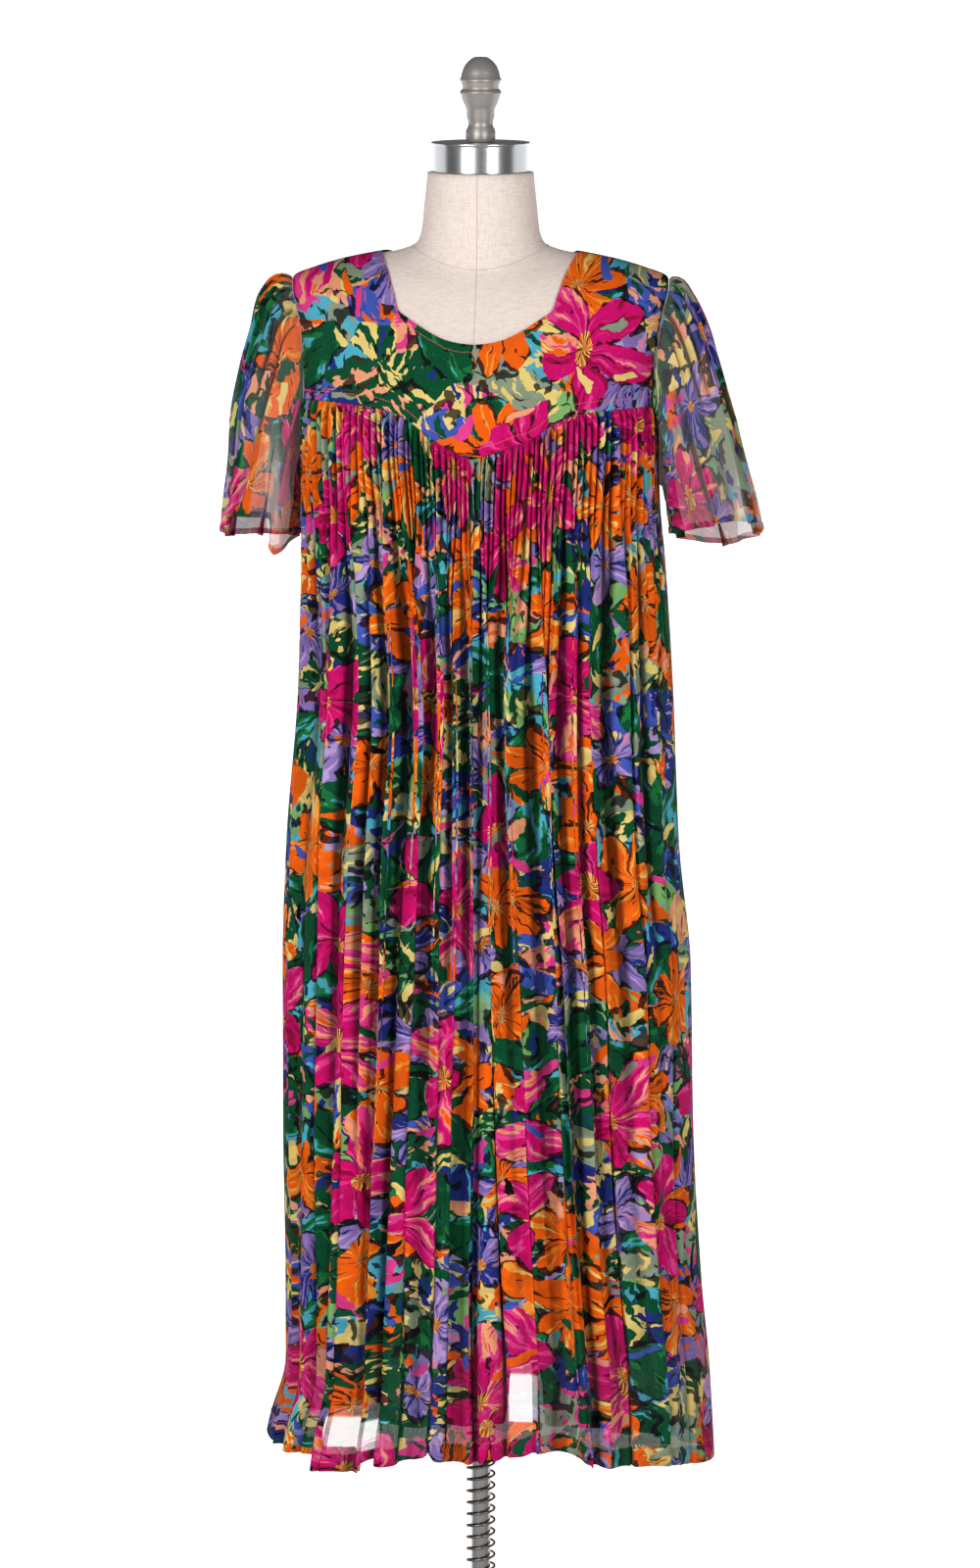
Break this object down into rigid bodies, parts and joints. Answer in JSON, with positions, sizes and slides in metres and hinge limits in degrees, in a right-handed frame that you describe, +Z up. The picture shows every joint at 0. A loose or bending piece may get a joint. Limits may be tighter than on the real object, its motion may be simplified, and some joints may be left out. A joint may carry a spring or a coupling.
{
  "type": "trapeze dress on a limbless dress form with a pole stand",
  "caption": "Loose trapeze dress with a V yoke, gathered skirt and flared short sleeves, on a limbless dress form with a sprung pole stand.",
  "frame": {"origin": "floor centre of the round base, on the pole's axis", "axes": "+Z up along the pole, -Y to the front of the dress, -X to the viewer's left facing the front"},
  "size_m": [0.5563, 0.35, 1.6988],
  "materials": {
    "printed_cloth": "thin crinkled weave with a painterly flower print",
    "linen_cover": "matt slubby linen",
    "brushed_steel_cap": "brushed",
    "grey_paint": "satin",
    "pole_chrome": "polished",
    "spring_steel": "drawn wire",
    "base_paint": "satin paint"
  },
  "bodies": {
    "root": {"front_yoke": "printed_cloth", "back_yoke": "printed_cloth", "front_skirt": "printed_cloth", "back_skirt": "printed_cloth", "sleeve_left": "printed_cloth", "sleeve_right": "printed_cloth", "dress_form": "linen_cover", "neck_cap": "brushed_steel_cap", "finial": "grey_paint", "pole": "pole_chrome", "pole_tube": "pole_chrome", "spring": "spring_steel", "stand_base": "base_paint"}
  },
  "joints": []
}
